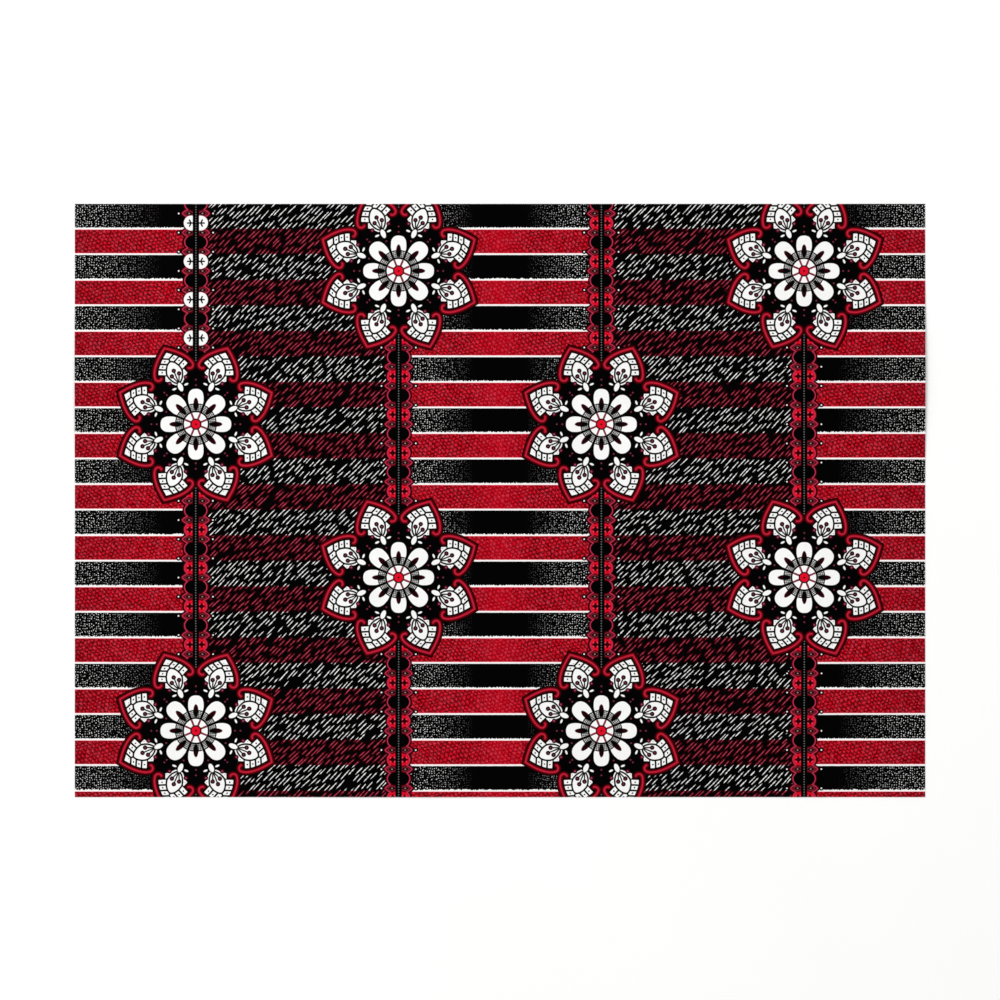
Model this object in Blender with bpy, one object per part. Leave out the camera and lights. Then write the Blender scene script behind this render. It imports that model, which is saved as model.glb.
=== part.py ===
"""A cut length of printed cotton cloth, lying face up on a flat surface.

Metres, +Z up. The origin is on the surface, under the middle of the cloth. +X runs along the cloth's long
side, and +Y runs towards the end where the print begins.
"""

import math
from collections import namedtuple

import bmesh
import bpy

CLOTH_LENGTH = 0.8875
CLOTH_WIDTH = 0.6191
CLOTH_THICKNESS = 0.0010
CELLS_ALONG = 30
CELLS_ACROSS = 21

CLOTH_COLOUR = (0.300, 0.012, 0.022, 1.0)
CLOTH_ROUGHNESS = 0.62

# Starched cotton keeps low swells where it was folded. Each has its middle, its reach along and across its
# ridge, the way that the ridge runs, and the height of its middle. Between them the cloth lies flat, and so do
# its four corners.
Swell = namedtuple("Swell", "x y along across turn_deg height")
SWELLS = (
    Swell(-0.310, -0.040, 0.250, 0.080, 64.0, 0.0026),
    Swell(0.050, 0.185, 0.330, 0.085, -9.0, 0.0021),
    Swell(0.335, -0.105, 0.250, 0.075, 81.0, 0.0028),
    Swell(-0.035, -0.262, 0.240, 0.070, 6.0, 0.0019),
    Swell(-0.444, 0.120, 0.110, 0.070, 88.0, 0.0024),
    Swell(0.444, 0.130, 0.120, 0.085, 97.0, 0.0030),
)


def clear_scene():
    for obj in list(bpy.data.objects):
        bpy.data.objects.remove(obj, do_unlink=True)


def bump(distance):
    """One smooth hump: 1 in its middle, and 0 from a distance of 1 outwards."""
    if abs(distance) >= 1.0:
        return 0.0
    return 0.5 + 0.5 * math.cos(math.pi * distance)


def lift(x, y):
    """How far the cloth's underside stands off the surface at this place."""
    height = 0.0
    for swell in SWELLS:
        turn = math.radians(swell.turn_deg)
        from_x = x - swell.x
        from_y = y - swell.y
        along = from_x * math.cos(turn) + from_y * math.sin(turn)
        across = from_y * math.cos(turn) - from_x * math.sin(turn)
        height += swell.height * bump(along / swell.along) * bump(across / swell.across)
    return height


def cloth_material():
    material = bpy.data.materials.new("printed_cotton")
    material.use_nodes = True
    shader = material.node_tree.nodes["Principled BSDF"]
    shader.inputs["Base Color"].default_value = CLOTH_COLOUR
    shader.inputs["Roughness"].default_value = CLOTH_ROUGHNESS
    shader.inputs["Metallic"].default_value = 0.0
    return material


def cloth_mesh():
    """The underside is a grid raised by the swells, and its faces are then extruded up by the thickness."""
    shape = bmesh.new()
    bmesh.ops.create_grid(shape, x_segments=CELLS_ALONG, y_segments=CELLS_ACROSS, size=0.5)
    bmesh.ops.scale(shape, vec=(CLOTH_LENGTH, CLOTH_WIDTH, 1.0), verts=shape.verts)
    for point in shape.verts:
        point.co.z = lift(point.co.x, point.co.y)
    upper = bmesh.ops.extrude_face_region(shape, geom=shape.faces[:])
    raised = [item for item in upper["geom"] if isinstance(item, bmesh.types.BMVert)]
    bmesh.ops.translate(shape, vec=(0.0, 0.0, CLOTH_THICKNESS), verts=raised)
    bmesh.ops.recalc_face_normals(shape, faces=shape.faces)
    mesh = bpy.data.meshes.new("ankara_cloth")
    shape.to_mesh(mesh)
    shape.free()
    mesh.shade_smooth()
    mesh.set_sharp_from_angle(angle=math.radians(40.0))
    return mesh


def build_cloth():
    cloth = bpy.data.objects.new("ankara_cloth", cloth_mesh())
    cloth.data.materials.append(cloth_material())
    bpy.context.scene.collection.objects.link(cloth)
    return cloth


clear_scene()
build_cloth()
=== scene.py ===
"""A cut length of wax-printed cotton, lying face up on a pale floor and seen from straight above.

Objects are in metres, in the frame's own axes. The print is worked out by shader nodes from each point's
place on the cloth, in millimetres from its middle: +x to the right and +y towards the end where it begins.
"""

import math
from collections import namedtuple

import bmesh
import bpy
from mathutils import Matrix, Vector, noise


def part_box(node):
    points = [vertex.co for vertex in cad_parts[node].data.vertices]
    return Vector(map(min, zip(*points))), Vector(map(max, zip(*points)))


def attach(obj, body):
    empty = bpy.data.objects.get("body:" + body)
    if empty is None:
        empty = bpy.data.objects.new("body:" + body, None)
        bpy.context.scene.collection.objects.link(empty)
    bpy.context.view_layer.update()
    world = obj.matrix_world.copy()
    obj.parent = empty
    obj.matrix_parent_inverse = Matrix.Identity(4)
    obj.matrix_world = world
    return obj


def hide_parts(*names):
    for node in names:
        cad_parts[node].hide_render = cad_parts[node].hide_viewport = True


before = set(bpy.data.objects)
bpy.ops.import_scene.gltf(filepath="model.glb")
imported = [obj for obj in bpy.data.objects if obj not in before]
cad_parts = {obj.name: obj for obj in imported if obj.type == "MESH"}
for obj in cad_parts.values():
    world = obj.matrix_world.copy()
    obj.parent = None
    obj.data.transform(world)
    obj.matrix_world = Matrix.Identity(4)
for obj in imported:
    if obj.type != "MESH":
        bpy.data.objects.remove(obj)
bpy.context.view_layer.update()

# The picture: how wide its frame is at the cloth, how far the camera stands, and how far above the cloth's
# middle the frame's middle lies.
FRAME_WIDTH = 1.04405
CAMERA_HEIGHT = 3.2
SENSOR_MM = 36.0
FRAME_RISE = 0.0005

# The cloth, in metres. Its swells are the solid's own.
SHEET_THICKNESS = 0.00040
SHEET_LIFT = 0.00020
CELLS_ALONG = 220
CELLS_ACROSS = 154
CREASE_ANGLE = math.radians(40.0)
RIPPLE_HEIGHT = 0.00022
RIPPLE_LENGTH = 0.045
Swell = namedtuple("Swell", "x y along across turn_deg height")
SWELLS = (
    Swell(-0.310, -0.040, 0.250, 0.080, 64.0, 0.0026),
    Swell(0.050, 0.185, 0.330, 0.085, -9.0, 0.0021),
    Swell(0.335, -0.105, 0.250, 0.075, 81.0, 0.0028),
    Swell(-0.035, -0.262, 0.240, 0.070, 6.0, 0.0019),
    Swell(-0.444, 0.120, 0.110, 0.070, 88.0, 0.0024),
    Swell(0.444, 0.130, 0.120, 0.085, 97.0, 0.0030),
)

# The print's layout, in millimetres. Bead chains run down the cloth at an even pitch, with a medallion on
# each at every repeat. A chain's medallions lie half a repeat from its neighbour's.
COLUMN_PITCH = 211.63
REPEAT = 320.0
FIRST_MEDALLION = 79.6
BAND = REPEAT / 12
BAND_START = 283.8

# How much of the light falling on it the undyed cloth gives back, how far an ink's edge spreads, how far it
# wanders from its true place, and over what length.
CLOTH_WHITE = 0.82
BLEED = 0.35
EDGE_WANDER = 0.22
WANDER_LENGTH = 3.1

# Noise that must differ from its neighbour's is read this far away from it.
APART = 40.0
ROW_APART = 3.7


def ink(red, green, blue):
    """The colour of cloth printed with an ink that looks like this on a screen, from 0 to 255."""
    # The screen's own curve, sRGB.
    def linear(level):
        share = level / 255
        return share / 12.92 if share <= 0.04045 else ((share + 0.055) / 1.055) ** 2.4

    return tuple(CLOTH_WHITE * linear(level) for level in (red, green, blue)) + (1.0,)


WHITE = ink(252, 252, 250)
BLACK = ink(1, 0, 1)
RED = ink(222, 14, 40)
SHINY_RED = ink(212, 36, 62)
DEEP_RED = ink(92, 0, 6)
CRIMSON = ink(188, 49, 80)
ROSE = ink(186, 68, 90)
MAUVE = ink(152, 60, 92)
PINK = ink(226, 84, 108)
BLUSH = ink(255, 74, 104)
WINE = ink(134, 38, 64)
PALE_WINE = ink(124, 44, 56)
DUSK = ink(116, 44, 64)
DARK_WINE = ink(106, 0, 12)
MAROON = ink(48, 0, 8)
EMBER = ink(84, 2, 16)
UMBER = ink(3, 0, 1)
GREY = ink(160, 120, 112)
DIM_GREY = ink(104, 106, 104)
DARK_GREY = ink(62, 62, 62)
PALE_GREY = ink(178, 173, 171)
GRAIN_DARK = ink(72, 0, 3)
GRAIN_LIGHT = ink(224, 3, 30)
MIDDLE_RED = ink(204, 4, 30)


class Field:
    """A number that differs from point to point of the cloth. Arithmetic on it adds Math nodes."""

    def __init__(self, socket):
        self.socket = socket

    def __add__(self, other):
        return work("ADD", self, other)

    def __radd__(self, other):
        return work("ADD", other, self)

    def __sub__(self, other):
        return work("SUBTRACT", self, other)

    def __rsub__(self, other):
        return work("SUBTRACT", other, self)

    def __mul__(self, other):
        return work("MULTIPLY", self, other)

    def __rmul__(self, other):
        return work("MULTIPLY", other, self)

    def __truediv__(self, other):
        return work("DIVIDE", self, other)


def work(operation, *terms, clamp=False):
    """One Math node on fields and plain numbers. clamp keeps its result from 0 to 1."""
    tree = next(term.socket.id_data for term in terms if isinstance(term, Field))
    node = tree.nodes.new("ShaderNodeMath")
    node.operation = operation
    node.use_clamp = clamp
    for socket, term in zip(node.inputs, terms):
        if isinstance(term, Field):
            tree.links.new(term.socket, socket)
        else:
            socket.default_value = term
    return Field(node.outputs[0])


def size(field):
    return work("ABSOLUTE", field)


def larger(one, other):
    return work("MAXIMUM", one, other)


def smaller(one, other):
    return work("MINIMUM", one, other)


def below(field, limit):
    """1 where the field is less than the limit, and 0 elsewhere."""
    return work("LESS_THAN", field, limit)


def every_other(field):
    """1 where this whole number is odd, and 0 where it is even."""
    return work("FLOORED_MODULO", field, 2.0)


def fold(field, half):
    """How far the field is from the nearest even multiple of half."""
    return work("PINGPONG", field, half)


def ramp(field, start, end):
    """0 up to start, 1 from end on, and even between them. The ends may be in either order."""
    return work("MULTIPLY_ADD", field, 1 / (end - start), -start / (end - start), clamp=True)


def choose(first, second, share):
    """first where share is 0 and second where it is 1."""
    return work("MULTIPLY_ADD", second - first, share, first)


def reach(x, y):
    """How far the point x, y is from 0, 0."""
    return work("SQRT", work("MULTIPLY_ADD", y, y, x * x))


def disc(x, y, centre, radius):
    """The distance outside a disc, less than 0 inside it."""
    return reach(x - centre[0], y - centre[1]) - radius


def oval(x, y, centre, half):
    """About the distance outside an oval with these half axes."""
    return (reach((x - centre[0]) / half[0], (y - centre[1]) / half[1]) - 1.0) * min(half)


# A pointed oval: the place of its middle along the line that it lies on, half its length and width, and how
# full its ends are. At 2 they are an oval's, and sharper below.
Almond = namedtuple("Almond", "middle length width fullness")


def almond(along, across, shape):
    """The distance outside a pointed oval."""
    power = shape.fullness
    one = size(along - shape.middle) / shape.length
    other = size(across) / shape.width
    total = work("POWER", one, power) + work("POWER", other, power)
    slope = reach(
        work("POWER", one, power - 1) / shape.length,
        work("POWER", other, power - 1) / shape.width,
    )
    return (total - work("POWER", total, 1 - 1 / power)) / slope


def stroke(x, y, start, end, half):
    """The distance outside a straight stroke with round ends."""
    run = (end[0] - start[0], end[1] - start[1])
    length_squared = run[0] ** 2 + run[1] ** 2
    from_x = x - start[0]
    from_y = y - start[1]
    share = from_x * (run[0] / length_squared)
    along = work("MULTIPLY_ADD", from_y, run[1] / length_squared, share, clamp=True)
    return reach(from_x - along * run[0], from_y - along * run[1]) - half


def inside(distance):
    """How much of the cloth an ink covers at this distance outside its shape."""
    return work("MULTIPLY_ADD", distance, -1 / BLEED, 0.5, clamp=True)


def line(distance, half):
    """How much a line covers whose middle is where the distance is 0."""
    return inside(size(distance) - half)


# The colour sockets of a Mix node.
MIX_UNDER = 6
MIX_OVER = 7
MIX_RESULT = 2


def lay(under, over, cover):
    """The colour where cover says how much of over lies on under. Each is an ink or a colour socket."""
    tree = cover.socket.id_data
    node = tree.nodes.new("ShaderNodeMix")
    node.data_type = "RGBA"
    tree.links.new(cover.socket, node.inputs["Factor"])
    for socket, colour in ((node.inputs[MIX_UNDER], under), (node.inputs[MIX_OVER], over)):
        if isinstance(colour, tuple):
            socket.default_value = colour
        else:
            tree.links.new(colour, socket)
    return node.outputs[MIX_RESULT]


def place_of(x, y):
    """A vector socket with this place in it. y may be a plain number."""
    tree = x.socket.id_data
    node = tree.nodes.new("ShaderNodeCombineXYZ")
    tree.links.new(x.socket, node.inputs[0])
    if isinstance(y, Field):
        tree.links.new(y.socket, node.inputs[1])
    else:
        node.inputs[1].default_value = y
    return node.outputs[0]


def cloud(x, y, detail=0.0):
    """Soft random spots about one unit apart, from 0 to 1."""
    place = place_of(x, y)
    tree = place.id_data
    node = tree.nodes.new("ShaderNodeTexNoise")
    node.noise_dimensions = "2D"
    node.inputs["Scale"].default_value = 1.0
    node.inputs["Detail"].default_value = detail
    tree.links.new(place, node.inputs["Vector"])
    return Field(node.outputs["Fac"])


def spots(x, y, unevenness):
    """The distance from the nearest of many spots about one unit apart, and that spot's random number."""
    place = place_of(x, y)
    tree = place.id_data
    node = tree.nodes.new("ShaderNodeTexVoronoi")
    node.voronoi_dimensions = "2D"
    node.inputs["Scale"].default_value = 1.0
    node.inputs["Randomness"].default_value = unevenness
    tree.links.new(place, node.inputs["Vector"])
    parts = tree.nodes.new("ShaderNodeSeparateColor")
    tree.links.new(node.outputs["Color"], parts.inputs[0])
    return Field(node.outputs["Distance"]), Field(parts.outputs[0])


def chances(x, y):
    """Three random numbers from 0 to 1 for this pair of whole numbers."""
    place = place_of(x, y)
    tree = place.id_data
    node = tree.nodes.new("ShaderNodeTexWhiteNoise")
    node.noise_dimensions = "2D"
    parts = tree.nodes.new("ShaderNodeSeparateColor")
    tree.links.new(place, node.inputs["Vector"])
    tree.links.new(node.outputs["Color"], parts.inputs[0])
    return [Field(output) for output in parts.outputs]


MM_IN_METRE = 1000.0


def cloth_place(tree):
    """x and y on the cloth, in millimetres."""
    coordinates = tree.nodes.new("ShaderNodeTexCoord")
    parts = tree.nodes.new("ShaderNodeSeparateXYZ")
    tree.links.new(coordinates.outputs["Object"], parts.inputs[0])
    return Field(parts.outputs[0]) * MM_IN_METRE, Field(parts.outputs[1]) * MM_IN_METRE


# The bands. Every other one is grained red, and the black ones between are dotted where the cloth is paler.
# Along GRAIN_STEPS the grain is lighter and darker in waves, and also by chance from grain to grain, in
# patches and in specks. Some grains are pink, the middle of the cloth is brighter and its two ends duller.
BEFORE_FIRST_LINE = -0.5
LINE_HALF = 0.88
LINE_EXTRA = 0.22
LINE_JAG = 2.0
JAG_LENGTH = 1.5
BLUSH_WIDTH = 0.35
GRAIN_STEPS = ((3.13, -3.13), (-1.04, -4.18))
GRAIN_WAVES = (0.16, 0.23, 0.19)
GRAIN_LEVEL = 0.36
GRAIN_CHANGE = 0.24
GRAIN_DRIFT = 14.0
GRAIN_STRAY = 0.8
PATCH = 3.0
PATCH_CHANGE = 0.5
SPECK = 0.9
SPECK_CHANGE = 1.7
PINK_GATHER = 0.35
PINK_CHANCE = 0.25
PINK_START = 0.70
PINK_FULL = 1.0
PINK_SHARE = 0.48
MIDDLE_END = 34.0
MIDDLE_SHARE = 0.45
DULL = (375.0, 440.0)
DULL_SHARE = 0.26
DOT_SPACING = 2.4
DOT_RADIUS = 0.43
DOT_BRIGHTNESS = 1.30
DOT_UNEVENNESS = 0.75
OUTER_START = 1.5 * COLUMN_PITCH
MIDDLE_DOTS = (27.0, 74.0)
OUTER_DOTS = (352.0, 420.0)
DOT_FADE = 1.5


def diagonal(x, y):
    """The same place along and across a line that rises to the right at 45 degrees."""
    return (x + y) * math.sqrt(0.5), (y - x) * math.sqrt(0.5)


def grained_red(x, y):
    """Small light red grains with dark veins between, in uneven rows along the two steps of GRAIN_STEPS."""
    (first_x, first_y), (second_x, second_y) = GRAIN_STEPS
    area = first_x * second_y - first_y * second_x
    far_x = x / GRAIN_DRIFT
    far_y = y / GRAIN_DRIFT
    one = x * (second_y / area) - y * (second_x / area) + cloud(far_x, far_y) * GRAIN_STRAY
    other = y * (first_x / area) - x * (first_y / area) + cloud(far_x + APART, far_y) * GRAIN_STRAY
    light_chance, pink_chance, _ = chances(work("ROUND", one), work("ROUND", other))
    waves = work("COSINE", one * math.tau) * GRAIN_WAVES[0]
    waves = work("COSINE", other * math.tau) * GRAIN_WAVES[1] + waves
    waves = work("COSINE", (one + other) * math.tau) * GRAIN_WAVES[2] + waves
    light = (light_chance - 0.5) * GRAIN_CHANGE + GRAIN_LEVEL + waves
    light = (cloud(x / PATCH, y / PATCH) - 0.5) * PATCH_CHANGE + light
    light = (cloud(x / SPECK, y / SPECK) - 0.5) * SPECK_CHANGE + light
    light = light * (1.0 - ramp(size(x), *DULL) * DULL_SHARE)
    colour = lay(GRAIN_DARK, GRAIN_LIGHT, light)
    colour = lay(colour, MIDDLE_RED, ramp(size(x), MIDDLE_END, 0.0) * MIDDLE_SHARE)
    pink = cloud(x / SPECK + APART, y / SPECK) + waves * PINK_GATHER + pink_chance * PINK_CHANCE
    return lay(colour, PINK, ramp(pink, PINK_START, PINK_FULL) * PINK_SHARE)


def dots(out, y):
    """The cover of the small white dots in the black bands, which fade towards the plain parts."""
    strength = choose(ramp(out, *OUTER_DOTS), ramp(out, *MIDDLE_DOTS), below(out, OUTER_START))
    strength = work("POWER", strength, DOT_FADE)
    away, chance = spots(out / DOT_SPACING, y / DOT_SPACING, DOT_UNEVENNESS)
    return inside(away * DOT_SPACING - DOT_RADIUS) * strength * chance * DOT_BRIGHTNESS


def bands(x, y):
    """The striped panels, and 1 where the band is a black one."""
    out = size(x)
    row = (BAND_START - y) / BAND
    black_band = every_other(work("FLOOR", row))
    nearest_line = work("FLOOR", row + 0.5)
    under_line = (row - nearest_line) * BAND
    ragged = below(under_line, 0.0) * (1.0 - every_other(nearest_line))
    jag = (cloud(out / JAG_LENGTH, nearest_line * ROW_APART) - 0.5) * LINE_JAG + LINE_EXTRA
    edge = size(under_line) - LINE_HALF - jag * ragged
    colour = lay(grained_red(x, y), BLACK, black_band)
    colour = lay(colour, WHITE, dots(out, y) * black_band)
    colour = lay(colour, BLUSH, inside(edge - BLUSH_WIDTH) * (1.0 - black_band))
    has_line = below(BEFORE_FIRST_LINE, row)
    return lay(colour, WHITE, inside(edge) * has_line), black_band


# The dashed panels: rows that rise to the right, with one dash in each pitch of a row. The dashes' lengths,
# the shifts from row to row and the changes of pitch are shares of the pitch.
DASH_ROW = 3.69
DASH_PITCH = 16.0
PITCH_CHANGE = 0.7
PITCH_CHANGE_LENGTH = 24.0
ROW_BEND = 3.0
ROW_BEND_LENGTH = 45.0
ROW_KEY = 9.0
ROW_SHIFT = 0.382
ROW_CHANGE = 0.3
END_CHANGE = 0.6
DASH_SHORTEST = 0.46
DASH_LONGEST = 0.86
DASH_HALF = 0.36
ROSE_DASH_HALF = 0.30
DASH_STRAY = 1.6
DASH_TAPER = 0.35
TAPER_SPAN = (-2.4, 0.2)
DASH_LEFT_OUT = 0.03
BEAD_LENGTH = 2.2
BEAD_CHANGE = 0.5
HALO_WIDTH = 1.2


def dashes(x, y, black_band):
    """Dashes of uneven length and width, white in the black bands and rose in the red ones."""
    along, across = diagonal(x, y)
    bend = cloud(x / ROW_BEND_LENGTH, y / ROW_BEND_LENGTH) * ROW_BEND
    row_place = (across + bend) / DASH_ROW
    row = work("FLOOR", row_place)
    shift = chances(row, ROW_KEY)[0] * ROW_CHANGE + row * ROW_SHIFT
    shift = shift + cloud(along / PITCH_CHANGE_LENGTH, row * ROW_APART) * PITCH_CHANGE
    place = along / DASH_PITCH + shift
    dash = work("FLOOR", place)
    length_chance, end_chance, stray = chances(row, dash)
    longer = 0.5 * (DASH_LONGEST - DASH_SHORTEST)
    half_length = work("MULTIPLY_ADD", length_chance, longer, 0.5 * DASH_SHORTEST)
    middle = (0.5 - half_length) * (end_chance * 2.0 - 1.0) * END_CHANGE + 0.5
    left_out = below(length_chance, DASH_LEFT_OUT)
    past_end = (size(place - dash - middle) - half_length + left_out) * DASH_PITCH
    beads = (cloud(along / BEAD_LENGTH, row * ROW_APART) - 0.5) * BEAD_CHANGE
    thickest = black_band * (DASH_HALF - ROSE_DASH_HALF) + ROSE_DASH_HALF
    half = beads + thickest - ramp(past_end, *TAPER_SPAN) * DASH_TAPER
    from_middle = (row_place - row - 0.5) * DASH_ROW + (stray - 0.5) * DASH_STRAY
    outside = larger(size(from_middle) - half, past_end)
    cover = inside(outside)
    rose = lay(lay(UMBER, EMBER, ramp(outside, HALO_WIDTH, 0.0)), ROSE, cover)
    return lay(rose, lay(BLACK, WHITE, cover), black_band)


# The bead chain. Eyes lie every half period, and flower beads and black beads take turns between them.
CHAIN_PERIOD = 40.0
EYE_GAP = CHAIN_PERIOD / 2
CHAIN_BORDER = 2.3
CHAIN_LINE_HALF = 0.52
CHAIN_GLOW = (1.9, 0.5)
CHAIN_LINE_START = 8.0
STRIP_HALF = 3.35
STRIP_DOT_GAP = CHAIN_PERIOD / 15
STRIP_DOT_RADIUS = 0.66
BEAD_CENTRE = (4.8, 0.0)
BEAD_RADIUS = 6.9
BLACK_BEAD = (4.2, 0.0)
BLACK_BEAD_RADIUS = 6.7
WHITE_BEAD_RADIUS = 7.75
EYE = Almond(6.9, 7.1, 4.5, 1.3)
LENS = Almond(6.95, 4.05, 2.35, 1.55)
LENS_LINE_HALF = 0.33
PUPIL = (6.9, 0.0)
PUPIL_RADIUS = 0.85
PUPIL_RING = 0.75
STAR = (6.2, 0.0)
STAR_RADIUS = 3.6
STAR_CORE = 2.3
STAR_SPOT = (2.1, 2.1)
STAR_SPOT_RADIUS = 0.6
RAY_HALF = 0.8
BRANCH = (5.1, 0.0)
BRANCH_END = (6.7, 3.2)
BAR_END = 9.3
OUTER_DOT = (17.95, 0.0)
OUTER_DOT_RADIUS = 0.80
OUTER_DOT_RING = 1.6
WHITE_BEADS_ABOVE = 150.0


def red_bead(colour, side, up, cover):
    """A red bead with a dark star of four rays, and a pink spot between each two of them."""
    from_x = side - STAR[0]
    colour = lay(colour, RED, inside(disc(side, up, BEAD_CENTRE, BEAD_RADIUS)) * cover)
    colour = lay(colour, PINK, inside(disc(size(from_x), up, STAR_SPOT, STAR_SPOT_RADIUS)) * cover)
    upright = larger(size(from_x) - RAY_HALF, up - STAR_RADIUS)
    level = larger(up - RAY_HALF, from_x - STAR_RADIUS)
    core = reach(from_x, up) - STAR_CORE
    return lay(colour, MAROON, inside(smaller(smaller(upright, level), core)) * cover)


def white_bead(colour, side, up, cover):
    """A white bead with a black bar from the strip outwards, and a branch on each side of it."""
    colour = lay(colour, WHITE, inside(disc(side, up, BEAD_CENTRE, WHITE_BEAD_RADIUS)) * cover)
    bar = larger(up - RAY_HALF, side - BAR_END)
    branch = stroke(side, up, BRANCH, BRANCH_END, RAY_HALF)
    return lay(colour, BLACK, inside(smaller(bar, branch)) * cover)


def lens(colour, side, up):
    """The lens and the pupil of an eye."""
    rim = almond(side, up, LENS)
    pupil = disc(side, up, PUPIL, PUPIL_RADIUS)
    colour = lay(colour, MAROON, inside(rim))
    colour = lay(colour, PALE_WINE, line(rim, LENS_LINE_HALF))
    colour = lay(colour, BLACK, inside(pupil - PUPIL_RING))
    return lay(colour, GREY, inside(pupil))


def chain(colour, across, along, white_beads):
    """The chain on its column, laid on colour."""
    side = size(across)
    to_eye = fold(along, EYE_GAP / 2)
    to_bead = EYE_GAP / 2 - to_eye
    flower = below(0.0, work("SINE", along * (math.tau / CHAIN_PERIOD)))
    white = flower * white_beads
    bead = disc(side, to_bead, BEAD_CENTRE, BEAD_RADIUS)
    eye = almond(side, to_eye, EYE)
    outline = smaller(bead, eye)
    colour = lay(colour, BLACK, inside(outline - CHAIN_BORDER))
    colour = lay(colour, DEEP_RED, ramp(outline, *CHAIN_GLOW))
    colour = red_bead(colour, side, to_bead, flower - white)
    colour = lay(colour, DARK_WINE, inside(eye))
    black_bead = disc(side, to_bead, BLACK_BEAD, BLACK_BEAD_RADIUS)
    colour = lay(colour, BLACK, inside(black_bead) * (1.0 - flower))
    colour = lens(colour, side, to_eye)
    colour = lay(colour, CRIMSON, line(outline, CHAIN_LINE_HALF) * below(CHAIN_LINE_START, side))
    colour = white_bead(colour, side, to_bead, white)
    colour = lay(colour, BLACK, inside(side - STRIP_HALF))
    stitch = reach(side, fold(along, STRIP_DOT_GAP / 2)) - STRIP_DOT_RADIUS
    colour = lay(colour, DIM_GREY, inside(stitch))
    outer = disc(side, to_eye, OUTER_DOT, OUTER_DOT_RADIUS)
    colour = lay(colour, BLACK, inside(outer - OUTER_DOT_RING))
    return lay(colour, WHITE, inside(outer))


# The medallion: an eight-petalled flower in a ring of eight leaves. Lengths are from its centre outwards.
WEDGE = math.pi / 8
HUB = 12.35
HUB_RING = 2.0
HUB_DISC = 4.65
HUB_DISC_RING = 1.3
HUB_EYE = 0.9
SPOKE_HALF = 1.05
FRINGE_END = 21.2
FRINGE_PITCH = 1.92
HATCH_PITCH = 2.0
HATCH_HALF = 0.36
FRINGE_LINE_HALF = 0.68
PETAL_GAP_HALF = 1.35
Petal = namedtuple("Petal", "widest outward inward half fullness seed seed_length seed_half")
PETAL = Petal(27.0, 9.85, 10.1, 8.03, 2.5, 20.6, 7.15, 2.65)
WIDE_PETAL = Petal(29.4, 10.0, 12.57, 8.94, 2.25, 21.8, 7.5, 2.75)
SEED_SHADE = (19.5, 27.0)
FRINGE_SHADE = (14.5, 23.0)
RIM_WIDEST = 59.5
RIM_TIP = 85.7
RIM_HALF = 21.2
RIM_FULLNESS = 1.78
RIM_REACH = 3.2
RIM_SHADE = (0.0, 1.5)
RIM_FADE = (1.7, 3.1)
RIM_MARGIN = 3.4
HOOK_START = 60.0
HOOK_RADIUS = 3.65
HOOK_END = (57.4, 15.2)
HAIRLINE = 2.95
HAIRLINE_HALF = 0.3
LEAF_BORDER = 3.8
CELL_TURN = math.radians(65.0)
CELL_START = 49.3
CELL_PITCH = 5.75
CELL_GAP_HALF = 0.93
CELL_COUNT = 3
FIRST_CELL = 0.4
CELL_INNER = 0.8
CELL_OUTER = 4.35
KEEL_HALF = 0.9
CELL_DOT_RADIUS = 0.85
LAST_DOT = 0.6
KEEL_END = 10.0
DROP = Almond(58.45, 12.1, 8.3, 1.65)
DROP_LINE_HALF = 0.90
STRIP_MIDDLE = 1.35
STRIP_WIDTH_HALF = 0.75
STRIP_START = 45.6
STRIP_END = 54.0
FIN_SIDE = ((51.0, 8.6), (53.4, 12.4))
FIN_FOOT = 12.15
FIN_SLOPE = 0.38
FIN_RIGHT = -1.0
FIN_DOT = (54.1, 10.3)
FIN_DOT_RADIUS = 0.5
STEM_HALF = 0.72
STEM_START = 48.0
SIDE_STEM_START = (48.2, 0.9)
TOP_BERRY = (60.3, 0.0)
SIDE_BERRY = (55.7, 4.05)
BERRY_RADIUS = 0.95
BERRY_RING = 1.45
BUD = (42.0, 0.0)
BUD_HALF = (4.7, 2.45)
BUD_RING = 0.8
SIDE_BUD = (42.4, 6.7)
SIDE_BUD_HALF = (1.0, 2.2)
GROUND_DISC = 62.0

# The small dots on the medallion's black ground: how far out each lies, how much further on the diagonals,
# how far round from the middle of its petal as a share of a wedge, and its size, colour and dark ring.
GroundDot = namedtuple("GroundDot", "out further round radius colour ring")
GROUND_DOTS = (
    GroundDot(40.8, 2.2, 0.0, 0.9, DUSK, 0.0),
    GroundDot(46.5, 0.0, 0.0, 0.9, DUSK, 0.0),
    GroundDot(33.5, 0.0, 1.0, 0.9, DUSK, 0.0),
    GroundDot(50.4, 0.0, 0.53, 1.05, MAUVE, 1.4),
)


def turned(out, angle):
    """The place at this distance and angle from the centre, along and across the line of angle 0."""
    return out * work("COSINE", angle), out * work("SINE", angle)


def leaf_blade(u, v):
    """The distance outside the middle of a leaf's red rim."""
    length = RIM_TIP - RIM_WIDEST
    share = larger((u - RIM_WIDEST) / length, 0.0)
    steepness = (RIM_FULLNESS * RIM_HALF / length) ** 2
    steep = work("MULTIPLY_ADD", work("POWER", share, 2 * RIM_FULLNESS - 2), steepness, 1.0)
    return (v - (1.0 - work("POWER", share, RIM_FULLNESS)) * RIM_HALF) / work("SQRT", steep)


def leaf_rim(u, v, blade):
    """The distance from the middle of the red rim, whose lower ends curl in as hooks."""
    centre = (HOOK_START, RIM_HALF - HOOK_RADIUS)
    inward = (HOOK_END[0] - centre[0], HOOK_END[1] - centre[1])
    past_end = (u - centre[0]) * -inward[1] + (v - centre[1]) * inward[0]
    hook = size(disc(u, v, centre, HOOK_RADIUS)) + below(0.0, past_end) * HOOK_RADIUS
    end = disc(u, v, HOOK_END, 0.0)
    return smaller(choose(size(blade), hook, below(u, HOOK_START)), end)


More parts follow.
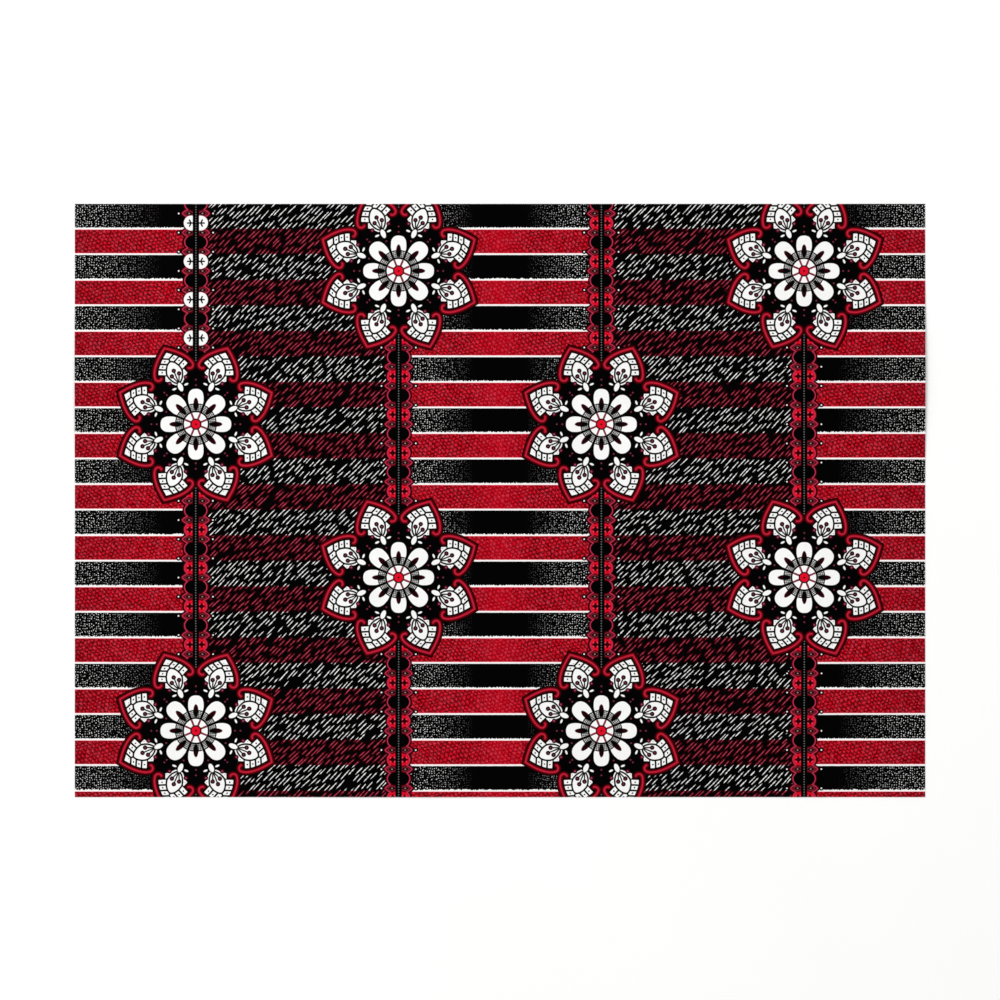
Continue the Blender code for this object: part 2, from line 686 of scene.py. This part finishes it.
def leaf_cells(colour, along_row, v, blade, drop):
    """A row of white cells from the hook to the tip, each with a small black dot. The last is the tip's."""
    place = along_row / CELL_PITCH
    nearest_gap = smaller(larger(work("ROUND", place), 1.0), float(CELL_COUNT))
    gap = CELL_GAP_HALF - size(place - nearest_gap) * CELL_PITCH
    keel = KEEL_HALF - v - below(float(CELL_COUNT), place) * KEEL_END
    to_drop = CELL_INNER - drop
    to_rim = blade + CELL_OUTER
    cell = larger(larger(larger(gap, keel), FIRST_CELL - along_row), larger(to_drop, to_rim))
    colour = lay(colour, WHITE, inside(cell))
    middle = smaller(work("FLOOR", place) + 0.5, CELL_COUNT + LAST_DOT)
    dot = reach((place - middle) * CELL_PITCH, (to_rim - to_drop) * 0.5) - CELL_DOT_RADIUS
    return lay(colour, BLACK, inside(larger(dot, cell)))


def leaf_side(colour, u, v, along_row, drop):
    """The white strip along the drop's lower side, and the fin that it ends in."""
    middle = 0.5 * (STRIP_START + STRIP_END)
    strip = larger(size(drop - STRIP_MIDDLE) - STRIP_WIDTH_HALF, size(u - middle) - (STRIP_END - middle))
    low, high = FIN_SIDE
    run = (high[0] - low[0], high[1] - low[1])
    length = math.hypot(*run)
    left = (v - low[1]) * (run[0] / length) - (u - low[0]) * (run[1] / length)
    foot = v + (u - high[0]) * FIN_SLOPE - FIN_FOOT
    fin = larger(larger(left, foot), larger(along_row - FIN_RIGHT, CELL_INNER - drop))
    colour = lay(colour, WHITE, inside(smaller(strip, fin)))
    return lay(colour, GREY, inside(disc(u, v, FIN_DOT, FIN_DOT_RADIUS)))


def leaf_sprig(colour, u, v, drop):
    """A white drop with a sprig of three berries in it, and buds at its foot."""
    colour = lay(colour, WHITE, inside(drop))
    colour = lay(colour, BLACK, line(drop, DROP_LINE_HALF))
    middle = 0.5 * (STEM_START + TOP_BERRY[0])
    top_stem = larger(v - STEM_HALF, size(u - middle) - (TOP_BERRY[0] - middle))
    side_stem = stroke(u, v, SIDE_STEM_START, SIDE_BERRY, STEM_HALF)
    berry = smaller(disc(u, v, TOP_BERRY, BERRY_RADIUS), disc(u, v, SIDE_BERRY, BERRY_RADIUS))
    dark = smaller(smaller(top_stem, side_stem), berry - BERRY_RING)
    colour = lay(colour, BLACK, inside(dark))
    colour = lay(colour, DUSK, inside(berry))
    bud = oval(u, v, BUD, BUD_HALF)
    colour = lay(colour, BLACK, inside(bud - BUD_RING))
    return lay(colour, WHITE, inside(smaller(bud, oval(u, v, SIDE_BUD, SIDE_BUD_HALF))))


def leaf(colour, out, round_petal):
    """One leaf, halfway between two petals."""
    u, v = turned(out, WEDGE - round_petal)
    blade = leaf_blade(u, v)
    rim = leaf_rim(u, v, blade)
    drop = almond(u, v, DROP)
    along_row = u * math.sin(CELL_TURN) - v * math.cos(CELL_TURN) - CELL_START
    body = smaller(larger(blade, HOOK_START - u), rim)
    colour = lay(colour, BLACK, inside(smaller(body - LEAF_BORDER, out - GROUND_DISC)))
    colour = lay(colour, MAROON, line(body - HAIRLINE, HAIRLINE_HALF))
    colour = leaf_cells(colour, along_row, v, blade, drop)
    colour = leaf_side(colour, u, v, along_row, drop)
    colour = lay(colour, BLACK, inside(rim - RIM_MARGIN))
    colour = leaf_sprig(colour, u, v, drop)
    shaded = lay(lay(SHINY_RED, DEEP_RED, ramp(rim, *RIM_SHADE)), BLACK, ramp(rim, *RIM_FADE))
    return lay(colour, shaded, inside(rim - RIM_REACH))


def flower(colour, out, round_petal, wide):
    """The flower's petals, seeds and hub. wide is 1 at the petals on the diagonals, which are larger."""
    u, v = turned(out, round_petal)
    petal = Petal(*(wide * (larger_size - plain) + plain for plain, larger_size in zip(PETAL, WIDE_PETAL)))
    reach_out = larger((u - petal.widest) / petal.outward, (petal.widest - u) / petal.inward)
    total = work("POWER", reach_out, petal.fullness) + work("POWER", v / petal.half, petal.fullness)
    blade = (work("POWER", total, work("DIVIDE", 1.0, petal.fullness)) - 1.0) * petal.half
    gap = PETAL_GAP_HALF - out * work("SINE", WEDGE - round_petal)
    past_fringe = out - FRINGE_END
    blade = larger(smaller(blade, past_fringe), gap)
    blade = larger(blade, HUB + HUB_RING - out)
    colour = lay(colour, WHITE, inside(blade))
    fringe = inside(larger(blade, past_fringe))
    arcs = fold(past_fringe, FRINGE_PITCH / 2)
    hatch = HATCH_PITCH / 2 - fold(v, HATCH_PITCH / 2)
    colour = lay(colour, lay(PALE_GREY, WHITE, ramp(out, *FRINGE_SHADE)), fringe)
    colour = lay(colour, DARK_GREY, line(smaller(arcs, hatch), HATCH_HALF) * fringe)
    colour = lay(colour, BLACK, inside(blade) * line(past_fringe, FRINGE_LINE_HALF))
    seed = reach((u - petal.seed) / petal.seed_length, v / petal.seed_half) - 1.0
    seed_colour = lay(BLACK, MAROON, ramp(u, *SEED_SHADE))
    colour = lay(colour, seed_colour, inside(larger(seed * PETAL.seed_half, HUB + HUB_RING - out)))
    colour = lay(colour, WHITE, inside(out - HUB))
    spoke = larger(out * work("SINE", WEDGE - round_petal) - SPOKE_HALF, out - HUB)
    colour = lay(colour, WINE, inside(spoke))
    colour = lay(colour, BLACK, inside(out - HUB_DISC - HUB_DISC_RING))
    colour = lay(colour, RED, inside(out - HUB_DISC))
    return lay(colour, BLACK, inside(out - HUB_EYE))


def ground_dots(colour, out, round_petal, wide):
    for dot in GROUND_DOTS:
        u, v = turned(out, round_petal - dot.round * WEDGE)
        spot = disc(u, v, (wide * dot.further + dot.out, 0.0), dot.radius)
        if dot.ring:
            colour = lay(colour, MAROON, inside(spot - dot.ring))
        colour = lay(colour, dot.colour, inside(spot))
    return colour


def medallion(colour, across, along):
    out = reach(across, along)
    angle = work("ARCTAN2", along, across)
    round_petal = fold(angle, WEDGE)
    wide = every_other(work("ROUND", angle / (2 * WEDGE)))
    colour = leaf(colour, out, round_petal)
    colour = ground_dots(colour, out, round_petal, wide)
    return flower(colour, out, round_petal, wide)


def print_group():
    """The whole print, as a node group that gives its colour."""
    group = bpy.data.node_groups.new("wax_print", "ShaderNodeTree")
    group.interface.new_socket("Color", in_out="OUTPUT", socket_type="NodeSocketColor")
    true_x, true_y = cloth_place(group)
    far_x = true_x / WANDER_LENGTH
    far_y = true_y / WANDER_LENGTH
    x = (cloud(far_x, far_y) - 0.5) * EDGE_WANDER + true_x
    y = (cloud(far_x + APART, far_y) - 0.5) * EDGE_WANDER + true_y
    striped, black_band = bands(x, y)
    panel = work("FLOOR", x / COLUMN_PITCH + 0.5)
    colour = lay(striped, dashes(x, y, black_band), every_other(panel))
    column = work("FLOOR", x / COLUMN_PITCH)
    across = x - (column + 0.5) * COLUMN_PITCH
    stagger = every_other(column) * (REPEAT / 2)
    along = work("WRAP", y - FIRST_MEDALLION + stagger, REPEAT / 2, -REPEAT / 2)
    first_column = below(x, -COLUMN_PITCH)
    colour = chain(colour, across, along, first_column * below(WHITE_BEADS_ABOVE, y))
    colour = medallion(colour, across, along)
    result = group.nodes.new("NodeGroupOutput")
    group.links.new(colour, result.inputs[0])
    return group


# The cloth's own surface: its threads, the uneven ink and the weave's depth, with lengths in millimetres,
# then how rough and shiny it is, and how much of the undyed cloth shows through on the reverse.
THREAD_PITCH = 0.36
SLUB_LENGTH = 9.0
SLUB_CHANGE = 0.10
INK_PATCH = 55.0
INK_DETAIL = 3.0
INK_CHANGE = 0.10
WEAVE_DEPTH = 0.035
WEAVE_STRENGTH = 0.6
ROUGH_PATCH = 26.0
ROUGH_DETAIL = 2.0
ROUGH_LEAST = 0.56
ROUGH_CHANGE = 0.16
SPECULAR_LEVEL = 0.015
SHEEN = 0.004
SHEEN_ROUGHNESS = 0.45
REVERSE_FADE = 0.08


def thread_tone(x, y):
    """How light the threads are here: each runs a little lighter and darker along its length."""
    warp = cloud(x / THREAD_PITCH, y / SLUB_LENGTH)
    weft = cloud(x / SLUB_LENGTH, y / THREAD_PITCH)
    patch = cloud(x / INK_PATCH, y / INK_PATCH, INK_DETAIL)
    threads = (warp + weft - 1.0) * SLUB_CHANGE
    return threads + (patch - 0.5) * INK_CHANGE + 1.0


def weave_height(x, y):
    """A plain weave: threads cross over and under each other at every pitch, in millimetres."""
    crossing = work("SINE", x * (math.pi / THREAD_PITCH)) * work("SINE", y * (math.pi / THREAD_PITCH))
    return work("SQRT", size(crossing)) * WEAVE_DEPTH


def cotton(name, group, fade):
    """Printed cotton. fade is how much of the undyed cloth shows through the ink."""
    material = bpy.data.materials.new(name)
    material.use_nodes = True
    tree = material.node_tree
    shader = tree.nodes["Principled BSDF"]
    pattern = tree.nodes.new("ShaderNodeGroup")
    pattern.node_tree = group
    x, y = cloth_place(tree)
    tone = thread_tone(x, y)
    colour = pattern.outputs[0]
    if fade:
        colour = lay(colour, WHITE, size(tone) * fade)
    toned = tree.nodes.new("ShaderNodeVectorMath")
    toned.operation = "SCALE"
    tree.links.new(colour, toned.inputs[0])
    tree.links.new(tone.socket, toned.inputs["Scale"])
    tree.links.new(toned.outputs[0], shader.inputs["Base Color"])
    rough = cloud(x / ROUGH_PATCH, y / ROUGH_PATCH, ROUGH_DETAIL) * ROUGH_CHANGE + ROUGH_LEAST
    tree.links.new(rough.socket, shader.inputs["Roughness"])
    bump = tree.nodes.new("ShaderNodeBump")
    bump.inputs["Strength"].default_value = WEAVE_STRENGTH
    bump.inputs["Distance"].default_value = 1.0 / MM_IN_METRE
    tree.links.new(weave_height(x, y).socket, bump.inputs["Height"])
    tree.links.new(bump.outputs[0], shader.inputs["Normal"])
    shader.inputs["Specular IOR Level"].default_value = SPECULAR_LEVEL
    shader.inputs["Sheen Weight"].default_value = SHEEN
    shader.inputs["Sheen Roughness"].default_value = SHEEN_ROUGHNESS
    return material


def hump(distance):
    """One smooth hump: 1 in its middle, and 0 from a distance of 1 outwards."""
    if abs(distance) >= 1.0:
        return 0.0
    return 0.5 + 0.5 * math.cos(math.pi * distance)


def lift(x, y):
    """How far the cloth's underside stands off the floor at this place: its swells and fine ripples."""
    height = 0.0
    for swell in SWELLS:
        turn = math.radians(swell.turn_deg)
        from_x = x - swell.x
        from_y = y - swell.y
        along = from_x * math.cos(turn) + from_y * math.sin(turn)
        across = from_y * math.cos(turn) - from_x * math.sin(turn)
        height += swell.height * hump(along / swell.along) * hump(across / swell.across)
    ripple = noise.noise(Vector((x / RIPPLE_LENGTH, y / RIPPLE_LENGTH, 0.5)))
    return height + SHEET_LIFT + RIPPLE_HEIGHT * 0.5 * ripple


# The piece's own map for its colours: the face has the larger part of it, the reverse the rest.
MAP_NAME = "OFBake"
MAP_SIDE = (0.004, 0.996)
FACE_ROWS = (0.301, 0.996)
REVERSE_ROWS = (0.012, 0.285)
EDGE_ROWS = (0.289, 0.297)
EDGE_STRIPS = 4
EDGE_FILL = 0.8
UPRIGHT = 0.5


def add_map(shape, length, width):
    layer = shape.loops.layers.uv.new(MAP_NAME)
    for face in shape.faces:
        rows = EDGE_ROWS
        if abs(face.normal.z) > UPRIGHT:
            rows = FACE_ROWS if face.normal.z > 0 else REVERSE_ROWS
        for corner in face.loops:
            across = corner.vert.co.x / length + 0.5
            up = corner.vert.co.y / width + 0.5
            if rows is EDGE_ROWS:
                across, up = edge_place(face, corner.vert.co, across, up)
            corner[layer].uv = (
                MAP_SIDE[0] + across * (MAP_SIDE[1] - MAP_SIDE[0]),
                rows[0] + up * (rows[1] - rows[0]),
            )


def edge_place(face, point, across, up):
    """Where a point of the cut edge lies on its own strip of the map: each side of the cloth has one."""
    high = 1.0 if point.z > face.calc_center_median().z else 0.0
    if abs(face.normal.y) > abs(face.normal.x):
        strip = 0 if face.normal.y > 0 else 1
        return across, (strip + EDGE_FILL * high) / EDGE_STRIPS
    strip = 2 if face.normal.x > 0 else 3
    return up, (strip + EDGE_FILL * high) / EDGE_STRIPS


def make_cloth():
    low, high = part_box("ankara_cloth")
    length = high[0] - low[0]
    width = high[1] - low[1]
    shape = bmesh.new()
    bmesh.ops.create_grid(shape, x_segments=CELLS_ALONG, y_segments=CELLS_ACROSS, size=0.5)
    bmesh.ops.scale(shape, vec=(length, width, 1.0), verts=shape.verts)
    for point in shape.verts:
        point.co.z = lift(point.co.x, point.co.y)
    upper = bmesh.ops.extrude_face_region(shape, geom=shape.faces[:])
    raised = [item for item in upper["geom"] if isinstance(item, bmesh.types.BMVert)]
    bmesh.ops.translate(shape, vec=(0.0, 0.0, SHEET_THICKNESS), verts=raised)
    bmesh.ops.recalc_face_normals(shape, faces=shape.faces)
    shape.normal_update()
    add_map(shape, length, width)
    for face in shape.faces:
        face.material_index = 1 if face.normal.z < -UPRIGHT else 0
    mesh = bpy.data.meshes.new("printed_cloth")
    shape.to_mesh(mesh)
    shape.free()
    mesh.shade_smooth()
    mesh.set_sharp_from_angle(angle=CREASE_ANGLE)
    group = print_group()
    mesh.materials.append(cotton("cotton_face", group, 0.0))
    mesh.materials.append(cotton("cotton_reverse", group, REVERSE_FADE))
    cloth = bpy.data.objects.new("printed_cloth", mesh)
    bpy.context.scene.collection.objects.link(cloth)
    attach(cloth, "root")
    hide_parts("ankara_cloth")
    return cloth


def make_camera():
    lens = bpy.data.cameras.new("camera")
    lens.sensor_width = SENSOR_MM
    lens.lens = SENSOR_MM * CAMERA_HEIGHT / FRAME_WIDTH
    camera = bpy.data.objects.new("camera", lens)
    camera.location = (0.0, FRAME_RISE, CAMERA_HEIGHT)
    bpy.context.scene.collection.objects.link(camera)
    bpy.context.scene.camera = camera


FLOOR_HALF = 30.0
FLOOR_COLOUR = (0.87, 0.87, 0.865, 1.0)
FLOOR_ROUGHNESS = 0.8
FLOOR_SPECULAR = 0.2
FLOOR_PATCH = 180.0
FLOOR_DETAIL = 3.0
FLOOR_CHANGE = 0.02
SKY_STRENGTH = 0.88
KEY_PLACE = (-2.6, 2.4, 3.6)
KEY_SIZE = 2.2
KEY_POWER = 116.0


def make_floor():
    material = bpy.data.materials.new("pale_floor")
    material.use_nodes = True
    tree = material.node_tree
    shader = tree.nodes["Principled BSDF"]
    x, y = cloth_place(tree)
    tone = (cloud(x / FLOOR_PATCH, y / FLOOR_PATCH, FLOOR_DETAIL) - 0.5) * FLOOR_CHANGE + 1.0
    tinted = tree.nodes.new("ShaderNodeVectorMath")
    tinted.operation = "SCALE"
    tinted.inputs[0].default_value = FLOOR_COLOUR[:3]
    tree.links.new(tone.socket, tinted.inputs["Scale"])
    tree.links.new(tinted.outputs[0], shader.inputs["Base Color"])
    shader.inputs["Roughness"].default_value = FLOOR_ROUGHNESS
    shader.inputs["Specular IOR Level"].default_value = FLOOR_SPECULAR
    shape = bmesh.new()
    bmesh.ops.create_grid(shape, x_segments=1, y_segments=1, size=FLOOR_HALF)
    mesh = bpy.data.meshes.new("floor")
    shape.to_mesh(mesh)
    shape.free()
    mesh.materials.append(material)
    floor = bpy.data.objects.new("floor", mesh)
    bpy.context.scene.collection.objects.link(floor)


def make_light():
    scene = bpy.context.scene
    world = bpy.data.worlds.new("studio")
    world.use_nodes = True
    background = world.node_tree.nodes["Background"]
    background.inputs["Color"].default_value = (1.0, 1.0, 1.0, 1.0)
    background.inputs["Strength"].default_value = SKY_STRENGTH
    scene.world = world
    key = bpy.data.lights.new("key", "AREA")
    key.shape = "SQUARE"
    key.size = KEY_SIZE
    key.energy = KEY_POWER
    lamp = bpy.data.objects.new("key", key)
    lamp.location = KEY_PLACE
    lamp.rotation_euler = (-Vector(KEY_PLACE)).to_track_quat("-Z", "Y").to_euler()
    scene.collection.objects.link(lamp)
    scene.view_settings.view_transform = "Standard"
    scene.view_settings.look = "None"


make_camera()
make_cloth()
make_floor()
make_light()
